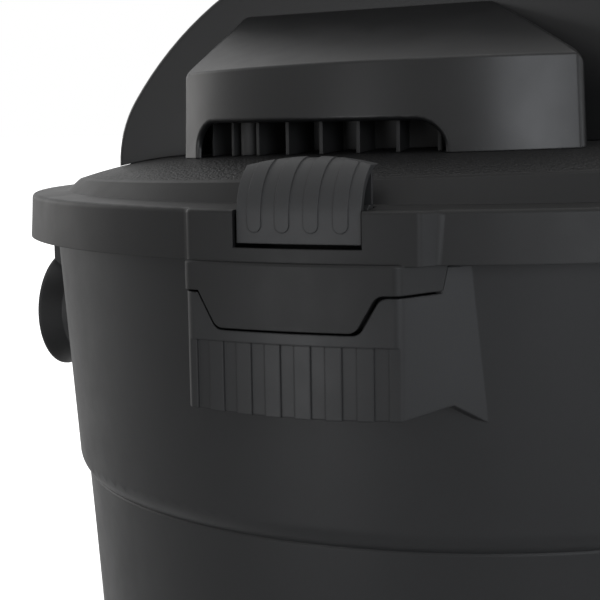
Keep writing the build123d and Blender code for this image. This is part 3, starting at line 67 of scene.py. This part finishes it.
# ------------------------------------------------------------------ node helpers
class Shader:
    """A material whose nodes are made by name and linked by value."""

    def __init__(self, name):
        self.mat = bpy.data.materials.new(name)
        self.mat.use_nodes = True
        self.tree = self.mat.node_tree
        self.tree.nodes.clear()
        self.out = self.tree.nodes.new("ShaderNodeOutputMaterial")
        self.bsdf = self.tree.nodes.new("ShaderNodeBsdfPrincipled")
        self.tree.links.new(self.bsdf.outputs[0], self.out.inputs["Surface"])
        self.place = self.tree.nodes.new("ShaderNodeTexCoord").outputs["Object"]

    def link(self, value, socket):
        if isinstance(value, (int, float)):
            socket.default_value = value
        elif isinstance(value, tuple):
            whole = len(value) == len(socket.default_value)
            socket.default_value = value if whole else (*value, 1.0)
        else:
            self.tree.links.new(value, socket)

    def math(self, op, a, b=0.0, clamp=False):
        n = self.tree.nodes.new("ShaderNodeMath")
        n.operation = op
        n.use_clamp = clamp
        for value, socket in zip((a, b), n.inputs):
            self.link(value, socket)
        return n.outputs[0]

    def noise(self, scale, detail=2.0, rough=0.5, where=None, distortion=0.0):
        n = self.tree.nodes.new("ShaderNodeTexNoise")
        self.link(where or self.place, n.inputs["Vector"])
        n.inputs["Scale"].default_value = scale
        n.inputs["Detail"].default_value = detail
        n.inputs["Roughness"].default_value = rough
        n.inputs["Distortion"].default_value = distortion
        return n.outputs["Fac"]

    def cells(self, scale):
        n = self.tree.nodes.new("ShaderNodeTexVoronoi")
        self.link(self.place, n.inputs["Vector"])
        n.inputs["Scale"].default_value = scale
        return n.outputs["Distance"]

    def remap(self, value, a, b, c=0.0, d=1.0):
        n = self.tree.nodes.new("ShaderNodeMapRange")
        n.inputs["From Min"].default_value = a
        n.inputs["From Max"].default_value = b
        n.inputs["To Min"].default_value = c
        n.inputs["To Max"].default_value = d
        self.link(value, n.inputs["Value"])
        return n.outputs["Result"]

    def split(self):
        n = self.tree.nodes.new("ShaderNodeSeparateXYZ")
        self.link(self.place, n.inputs[0])
        return n.outputs[0], n.outputs[1], n.outputs[2]

    def stretch(self, x, y, z):
        n = self.tree.nodes.new("ShaderNodeVectorMath")
        n.operation = "MULTIPLY"
        self.link(self.place, n.inputs[0])
        n.inputs[1].default_value = (x, y, z)
        return n.outputs[0]

    def radius(self):
        x, y, _ = self.split()
        squares = self.math("ADD", self.math("MULTIPLY", x, x), self.math("MULTIPLY", y, y))
        return self.math("SQRT", squares)

    def scale(self, colour, by):
        n = self.tree.nodes.new("ShaderNodeVectorMath")
        n.operation = "SCALE"
        self.link(colour, n.inputs[0])
        self.link(by, n.inputs["Scale"])
        return n.outputs[0]

    def mix(self, fac, a, b):
        n = self.tree.nodes.new("ShaderNodeMix")
        n.data_type = "RGBA"
        self.link(fac, n.inputs[0])
        self.link(a, n.inputs[6])
        self.link(b, n.inputs[7])
        return n.outputs[2]

    def rounded(self, size):
        n = self.tree.nodes.new("ShaderNodeBevel")
        n.samples = 4
        n.inputs["Radius"].default_value = size
        return n.outputs[0]

    def bump(self, height, depth, strength=1.0, normal=None):
        n = self.tree.nodes.new("ShaderNodeBump")
        n.inputs["Strength"].default_value = strength
        n.inputs["Distance"].default_value = depth
        self.link(height, n.inputs["Height"])
        if normal is not None:
            self.link(normal, n.inputs["Normal"])
        return n.outputs[0]

    def set(self, **values):
        names = {"colour": "Base Color", "rough": "Roughness", "metal": "Metallic",
                 "normal": "Normal", "specular": "Specular IOR Level", "coat": "Coat Weight",
                 "coat_rough": "Coat Roughness"}
        for key, value in values.items():
            self.link(value, self.bsdf.inputs[names[key]])
        return self.mat


def grey(level, blue=0.0):
    """A near-neutral linear colour from a display level of 0 to 255, by the sRGB curve."""
    v = level / 255.0
    lin = v / 12.92 if v <= 0.04045 else ((v + 0.055) / 1.055) ** 2.4
    return (lin * (1.0 - blue), lin, lin * (1.0 + 2.0 * blue))


def shaded(s, base, cloud, speck, scale=9.0, fine_scale=1100.0):
    """The base colour with slow drift and fine specks."""
    low = (*(c * (1.0 - cloud) for c in base), 1.0)
    high = (*(c * (1.0 + cloud) for c in base), 1.0)
    drift = s.mix(s.remap(s.noise(scale, 3.0, 0.6), 0.3, 0.7), low, high)
    fine = s.noise(fine_scale, 1.0, 0.5)
    return s.scale(drift, s.remap(fine, 0.25, 0.75, 1.0 - speck, 1.0 + speck))


def scuffs(s, low=0.62, high=0.78):
    """Sparse handling marks: long thin streaks, 0 to 1."""
    streaks = s.noise(26.0, 4.0, 0.7, s.stretch(1.0, 1.0, 6.0), 0.4)
    patches = s.remap(s.noise(7.0, 2.0, 0.5), 0.5, 0.7)
    return s.math("MULTIPLY", s.remap(streaks, low, high), patches, clamp=True)


def moulded(name, level, rough=0.5, grain=1400.0, depth=0.00004, blue=0.02, edge=0.0008,
            cloud=0.05, specular=0.3, texture=None):
    """Moulded plastic: spark-eroded grain, faint clouds of colour and gloss, light wear."""
    s = Shader(name)
    colour = shaded(s, grey(level, blue), cloud, 0.1)
    wear = scuffs(s)
    worn = s.mix(s.math("MULTIPLY", wear, 0.25), colour, (*grey(level * 1.8, blue), 1.0))
    height = s.noise(grain, 2.0, 0.65)
    normal = s.bump(height, depth, 0.6, s.rounded(edge))
    if texture:
        normal = texture(s, normal)
    gloss = s.remap(s.noise(40.0, 3.0, 0.6), 0.3, 0.7, rough - 0.03, rough + 0.03)
    gloss = s.math("ADD", gloss, s.math("MULTIPLY", wear, 0.06))
    return s.set(colour=worn, rough=gloss, normal=normal, specular=specular)


def leather(s, normal):
    """The coarse leather texture on top of the lid, inside the crown's edge."""
    _, _, z = s.split()
    inside = s.remap(s.radius(), crown_edge - 0.0045, crown_edge - 0.0035, 1.0, 0.0)
    above = s.remap(z, rim + 0.004, rim + 0.005)
    mask = s.math("MULTIPLY", inside, above, clamp=True)
    worms = s.math("ABSOLUTE", s.math("SUBTRACT", s.noise(480.0, 1.0, 0.4, distortion=0.6), 0.5))
    pebbles = s.math("SUBTRACT", 1.0, s.math("MULTIPLY", s.cells(520.0), 1.2))
    height = s.math("MULTIPLY", s.math("ADD", s.math("MULTIPLY", worms, 2.0), pebbles), mask)
    return s.bump(height, 0.0005, 1.0, normal)


def rubber(name, level):
    """Soft black rubber with a powdery bloom."""
    s = Shader(name)
    bloom = s.remap(s.noise(60.0, 4.0, 0.7), 0.45, 0.7)
    colour = s.mix(s.math("MULTIPLY", bloom, 0.3), (*grey(level), 1.0), (*grey(level * 1.7), 1.0))
    normal = s.bump(s.noise(2200.0, 2.0, 0.6), 0.00003, 0.7, s.rounded(0.0005))
    rough = s.remap(bloom, 0.0, 1.0, 0.68, 0.82)
    return s.set(colour=colour, rough=rough, normal=normal, specular=0.25)


def metal(name, colour, rough, grain=(1.0, 1.0, 30.0), tarnish=0.15, edge=0.0004):
    """Machined or plated metal: fine drawn lines, clouds of tarnish and varied gloss."""
    s = Shader(name)
    lines = s.noise(700.0, 2.0, 0.6, s.stretch(*grain))
    cloud = s.remap(s.noise(45.0, 4.0, 0.65), 0.35, 0.7)
    dull = tuple(c * 0.55 for c in colour)
    tone = s.mix(s.math("MULTIPLY", cloud, tarnish * 2.0, clamp=True), (*colour, 1.0), (*dull, 1.0))
    tone = s.scale(tone, s.remap(lines, 0.3, 0.7, 0.94, 1.05))
    gloss = s.remap(cloud, 0.0, 1.0, rough, rough + 0.14)
    normal = s.bump(lines, 0.00002, 0.5, s.rounded(edge))
    return s.set(colour=tone, rough=gloss, metal=1.0, normal=normal)


def laminated(name):
    """Stacked steel sheets: thin dark lines across the stack, with rust-brown flecks."""
    s = Shader(name)
    _, _, z = s.split()
    wave = s.math("SINE", s.math("MULTIPLY", z, 2.0 * math.pi / sheet_thickness))
    line = s.remap(wave, 0.6, 1.0)
    fleck = s.remap(s.noise(130.0, 4.0, 0.7), 0.6, 0.72)
    tone = s.mix(line, (0.32, 0.32, 0.33, 1.0), (0.07, 0.07, 0.075, 1.0))
    tone = s.mix(s.math("MULTIPLY", fleck, 0.6), tone, (0.2, 0.09, 0.04, 1.0))
    normal = s.bump(wave, 0.00006, 0.7, s.rounded(0.0004))
    return s.set(colour=tone, rough=s.remap(fleck, 0.0, 1.0, 0.42, 0.7), metal=0.85, normal=normal)


def wound(name):
    """Enamelled copper wire laid side by side, with varnish pooled between the turns."""
    s = Shader(name)
    x, _, z = s.split()
    turn = s.math("SINE", s.math("MULTIPLY", s.math("ADD", x, z), 2.0 * math.pi / wire_pitch))
    varnish = s.remap(turn, -1.0, -0.2, 1.0, 0.0)
    drift = s.remap(s.noise(55.0, 3.0), 0.3, 0.7)
    tone = s.mix(drift, (0.55, 0.2, 0.09, 1.0), (0.7, 0.3, 0.14, 1.0))
    tone = s.mix(varnish, tone, (0.16, 0.05, 0.02, 1.0))
    normal = s.bump(turn, 0.00015, 0.9, s.rounded(0.0006))
    return s.set(colour=tone, rough=s.remap(varnish, 0.0, 1.0, 0.32, 0.5), metal=0.7,
                 normal=normal, coat=0.4, coat_rough=0.2)


def paper(name):
    """Filter paper: matted fibres with grey dust settled in it."""
    s = Shader(name)
    fibres = s.noise(900.0, 4.0, 0.75, s.stretch(1.0, 1.0, 0.25), 0.6)
    dust = s.remap(s.noise(24.0, 4.0, 0.6), 0.42, 0.68)
    tone = s.mix(s.remap(fibres, 0.3, 0.7), (0.62, 0.6, 0.54, 1.0), (0.78, 0.76, 0.7, 1.0))
    tone = s.mix(s.math("MULTIPLY", dust, 0.35), tone, (0.38, 0.36, 0.33, 1.0))
    return s.set(colour=tone, rough=s.remap(dust, 0.0, 1.0, 0.85, 0.95), specular=0.15,
                 normal=s.bump(fibres, 0.00008, 0.8))


def pale_plastic(name, colour):
    """Natural or coloured soft plastic, a little cloudy."""
    s = Shader(name)
    tone = shaded(s, colour, 0.06, 0.03, 16.0)
    tone = s.mix(s.math("MULTIPLY", scuffs(s), 0.3), tone, (*(c * 0.7 for c in colour), 1.0))
    gloss = s.remap(s.noise(60.0, 3.0), 0.3, 0.7, 0.38, 0.46)
    normal = s.bump(s.noise(1200.0), 0.00002, 0.6, s.rounded(0.0006))
    return s.set(colour=tone, rough=gloss, specular=0.45, normal=normal)


def family(stem):
    """Every node whose name starts with the stem."""
    return [n for n in nodes if n.startswith(stem)]


def paint(names, mat):
    """Gives each named node the material in all of its slots."""
    for n in names:
        slots = nodes[n].material_slots
        if not slots:
            nodes[n].data.materials.append(mat)
        for slot in slots:
            slot.material = mat


paint(nodes, moulded("black plastic", 24, rough=0.52))
paint(["drum"], moulded("drum plastic", 22, rough=0.42, specular=0.22, grain=900.0, depth=0.00002,
                        blue=0.03, edge=0.0012))
paint(["lid"], moulded("lid plastic", 15, rough=0.48, specular=0.2, texture=leather))
paint(["motor_cover", "blower_port"],
      moulded("cover plastic", 15, rough=0.34, grain=1700.0, blue=0.03, specular=0.26))
paint(["latch_right", "latch_left"], moulded("latch plastic", 29, rough=0.5, blue=0.03))
paint(["inlet_port", "hose_lock_button", "drain_cap"],
      moulded("port plastic", 32, rough=0.4))
paint(["carry_handle"], moulded("handle plastic", 26, rough=0.48, grain=800.0, depth=0.00008))
paint(family("vent_baffle") + ["filter_cage", "fan_housing", "motor_shroud"],
      moulded("inner plastic", 20, rough=0.58))
paint(family("caster_fork") + ["caster_feet"],
      moulded("caster plastic", 25, rough=0.5, grain=1000.0))
paint(family("caster_wheel"), moulded("wheel plastic", 38, rough=0.6, grain=700.0, cloud=0.12))
paint(["switch_rocker"],
      moulded("rocker plastic", 20, rough=0.3, grain=2400.0, depth=0.00001, specular=0.5))
paint(["switch_bezel"], moulded("bezel plastic", 22, rough=0.42))
paint(["lid_gasket", "drain_seal", "cord_gland"], rubber("rubber", 24))
paint(["filter_caps"], rubber("cast cap", 40))
paint(["brushes"], rubber("carbon", 30))
paint(["filter_paper"], paper("filter paper"))
paint(["float_ball"], pale_plastic("float plastic", (0.72, 0.7, 0.64)))
paint(["filter_nut"], pale_plastic("nut plastic", grey(60, 0.05)))
paint(family("caster_axle") + ["cover_screws", "handle_screws", "housing_screws", "port_screws",
                               "latch_pins"], metal("zinc plate", steel, 0.3))
paint(["filter_plate", "fan_plate"],
      metal("sheet steel", (0.5, 0.51, 0.52), 0.36, (1.0, 20.0, 1.0)))
paint(["bearings", "impeller_nut"], metal("bright steel", (0.68, 0.68, 0.69), 0.2, tarnish=0.06))
paint(["impeller"], metal("cast aluminium", (0.58, 0.58, 0.59), 0.42, (1.0, 1.0, 1.0), 0.22))
paint(["armature"], metal("turned steel", (0.42, 0.4, 0.38), 0.34, tarnish=0.25))
paint(["stator"], laminated("steel sheets"))
paint(["field_coils"], wound("copper wire"))


# ------------------------------------------------------------------ painted shade strip under the motor cover
def lid_top(x, y):
    """Height of the lid's outer face at a place in plan.

    Known fault: where the ray misses the lid this gives 0. That is so
    between y = -0.05 and 0.05 on both sides, where the strip below drops to the floor.
    """
    _, where, _, _ = nodes["lid"].ray_cast(Vector((x, y, rim + 0.1)), Vector((0, 0, -1)))
    return where.z


def add_cover_shade_strip():
    """A soft dark strip on the lid, just inside the foot of the motor cover's spine: painted shade
    that fills the gap under the cover's foot.
    """
    half_x, half_y, thick = shade_strip_half_x, shade_strip_half_y, shade_strip_thick
    loop = [(half_x, half_y * (2 * n / shade_strip_steps_y - 1)) for n in range(shade_strip_steps_y)]
    loop += [(half_x * (1 - 2 * n / shade_strip_steps_x), half_y) for n in range(shade_strip_steps_x)]
    loop += [(-x, -y) for x, y in loop]
    verts, faces = [], []
    for x, y in loop:
        foot = lid_top(x, y)
        top = foot + shade_strip_tall
        inner_x = x - math.copysign(thick, x) if abs(x) > half_x - thick else x
        inner_y = y - math.copysign(thick, y) if abs(y) > half_y - thick else y
        verts += [(x, y, foot), (x, y, top), (inner_x, inner_y, top), (inner_x, inner_y, foot)]
    count = len(loop)
    for n in range(count):
        a, b = 4 * n, 4 * ((n + 1) % count)
        faces += [(a + k, b + k, b + (k + 1) % 4, a + (k + 1) % 4) for k in range(4)]
    mesh = bpy.data.meshes.new("cover_shade_strip")
    mesh.from_pydata(verts, [], faces)
    # painted shade: dark rubber shading on the strip that fills the gap under the cover's foot
    mesh.materials.append(rubber("painted shade strip", 18))
    shade_strip = bpy.data.objects.new("cover_shade_strip", mesh)
    scene.collection.objects.link(shade_strip)
    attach(shade_strip, "head")


add_cover_shade_strip()


# ------------------------------------------------------------------ floor, world, lights, camera
def add_floor():
    """A wide pale floor that keeps the shadow and clears to white away from the vacuum."""
    mesh = bpy.data.meshes.new("floor")
    size = floor_half
    corners = [(-size, -size, 0), (size, -size, 0), (size, size, 0), (-size, size, 0)]
    mesh.from_pydata(corners, [], [(0, 1, 2, 3)])
    floor = bpy.data.objects.new("floor", mesh)
    scene.collection.objects.link(floor)
    s = Shader("floor paper")
    tone = s.remap(s.noise(3.0, 2.0), 0.3, 0.7, 0.86, 0.88)
    colour = s.mix(tone, (0.8, 0.8, 0.8, 1), (0.9, 0.9, 0.9, 1))
    s.set(colour=colour, rough=0.9, specular=0.0)
    glow = s.tree.nodes.new("ShaderNodeEmission")
    glow.inputs["Color"].default_value = white
    path = s.tree.nodes.new("ShaderNodeLightPath")
    away = s.remap(s.radius(), floor_shade_from, floor_shade_to, floor_glow_near, 1.0)
    s.link(s.math("MULTIPLY", path.outputs["Is Camera Ray"], away), glow.inputs["Strength"])
    both = s.tree.nodes.new("ShaderNodeAddShader")
    s.link(s.bsdf.outputs[0], both.inputs[0])
    s.link(glow.outputs[0], both.inputs[1])
    s.tree.links.new(both.outputs[0], s.out.inputs["Surface"])
    mesh.materials.append(s.mat)


def add_world():
    """White for the camera and in glossy and clear surfaces, dimmer as a light."""
    world = bpy.data.worlds.new("studio")
    scene.world = world
    world.use_nodes = True
    tree = world.node_tree
    tree.nodes.clear()
    out = tree.nodes.new("ShaderNodeOutputWorld")
    back = tree.nodes.new("ShaderNodeBackground")
    path = tree.nodes.new("ShaderNodeLightPath")
    seen = path.outputs["Is Camera Ray"]
    for ray in ("Is Glossy Ray", "Is Transmission Ray"):
        either = tree.nodes.new("ShaderNodeMath")
        either.operation = "MAXIMUM"
        tree.links.new(seen, either.inputs[0])
        tree.links.new(path.outputs[ray], either.inputs[1])
        seen = either.outputs[0]
    level = tree.nodes.new("ShaderNodeMapRange")
    level.inputs["To Min"].default_value = world_level
    level.inputs["To Max"].default_value = 1.0
    tree.links.new(seen, level.inputs["Value"])
    back.inputs["Color"].default_value = white
    tree.links.new(level.outputs["Result"], back.inputs["Strength"])
    tree.links.new(back.outputs[0], out.inputs["Surface"])


def soft_light(name, azimuth, elevation, distance, size, power, colour=(1, 1, 1)):
    """A square soft box, seen from the lamps' target at an azimuth from +X and an elevation."""
    data = bpy.data.lights.new(name, "AREA")
    data.shape = "RECTANGLE"
    data.size = size
    data.size_y = size
    data.energy = power
    data.color = colour
    lamp = bpy.data.objects.new(name, data)
    scene.collection.objects.link(lamp)
    a, e = math.radians(azimuth), math.radians(elevation)
    way = Vector((math.cos(a) * math.cos(e), math.sin(a) * math.cos(e), math.sin(e)))
    lamp.location = Vector(lamp_target) + way * distance
    lamp.visible_camera = False
    lamp.rotation_mode = "QUATERNION"
    lamp.rotation_quaternion = way.to_track_quat("Z", "Y")


def add_camera():
    """The camera of the photograph: a little above the collar, looking slightly down."""
    azimuth, yaw, pitch, roll = camera_azimuth, camera_yaw, camera_pitch, camera_roll
    across = Vector((-math.sin(azimuth), math.cos(azimuth), 0))
    away = Vector((-math.cos(azimuth), -math.sin(azimuth), 0))
    vertical = Vector((0, 0, 1))
    right = across * math.cos(yaw) + away * math.sin(yaw)
    level = away * math.cos(yaw) - across * math.sin(yaw)
    forward = level * math.cos(pitch) - vertical * math.sin(pitch)
    up = level * math.sin(pitch) + vertical * math.cos(pitch)
    x = right * math.cos(roll) + up * math.sin(roll)
    y = up * math.cos(roll) - right * math.sin(roll)
    cam = bpy.data.cameras.new("camera")
    cam.lens = focal_per_width * sensor_width
    cam.sensor_width = sensor_width
    cam.clip_start = 0.01
    obj = bpy.data.objects.new("camera", cam)
    scene.collection.objects.link(obj)
    turn = Matrix((x, y, -forward)).transposed()
    place = away * -camera_reach + vertical * (rim + camera_over_rim)
    obj.matrix_world = Matrix.Translation(place) @ turn.to_4x4()
    scene.camera = obj


lamp_target = (0, 0, 0.42)
lamps = (   # name, azimuth and elevation in degrees, distance and size in metres, watts, colour
    ("side light", 42, 10, 2.0, 0.8, 14, (0.92, 0.95, 1.0)),
    ("left light", -100, 12, 2.2, 1.2, 6, (1.0, 0.98, 0.96)),
    ("front light", -18, -6, 2.0, 0.42, 7, (0.97, 0.98, 1.0)),
    ("rear light", 88, -2, 2.0, 0.6, 6, (0.9, 0.94, 1.0)),
    ("top light", 20, 75, 2.4, 1.6, 8),
)

add_floor()
add_world()
for lamp_values in lamps:
    soft_light(*lamp_values)
add_camera()
scene.view_settings.view_transform = "Standard"
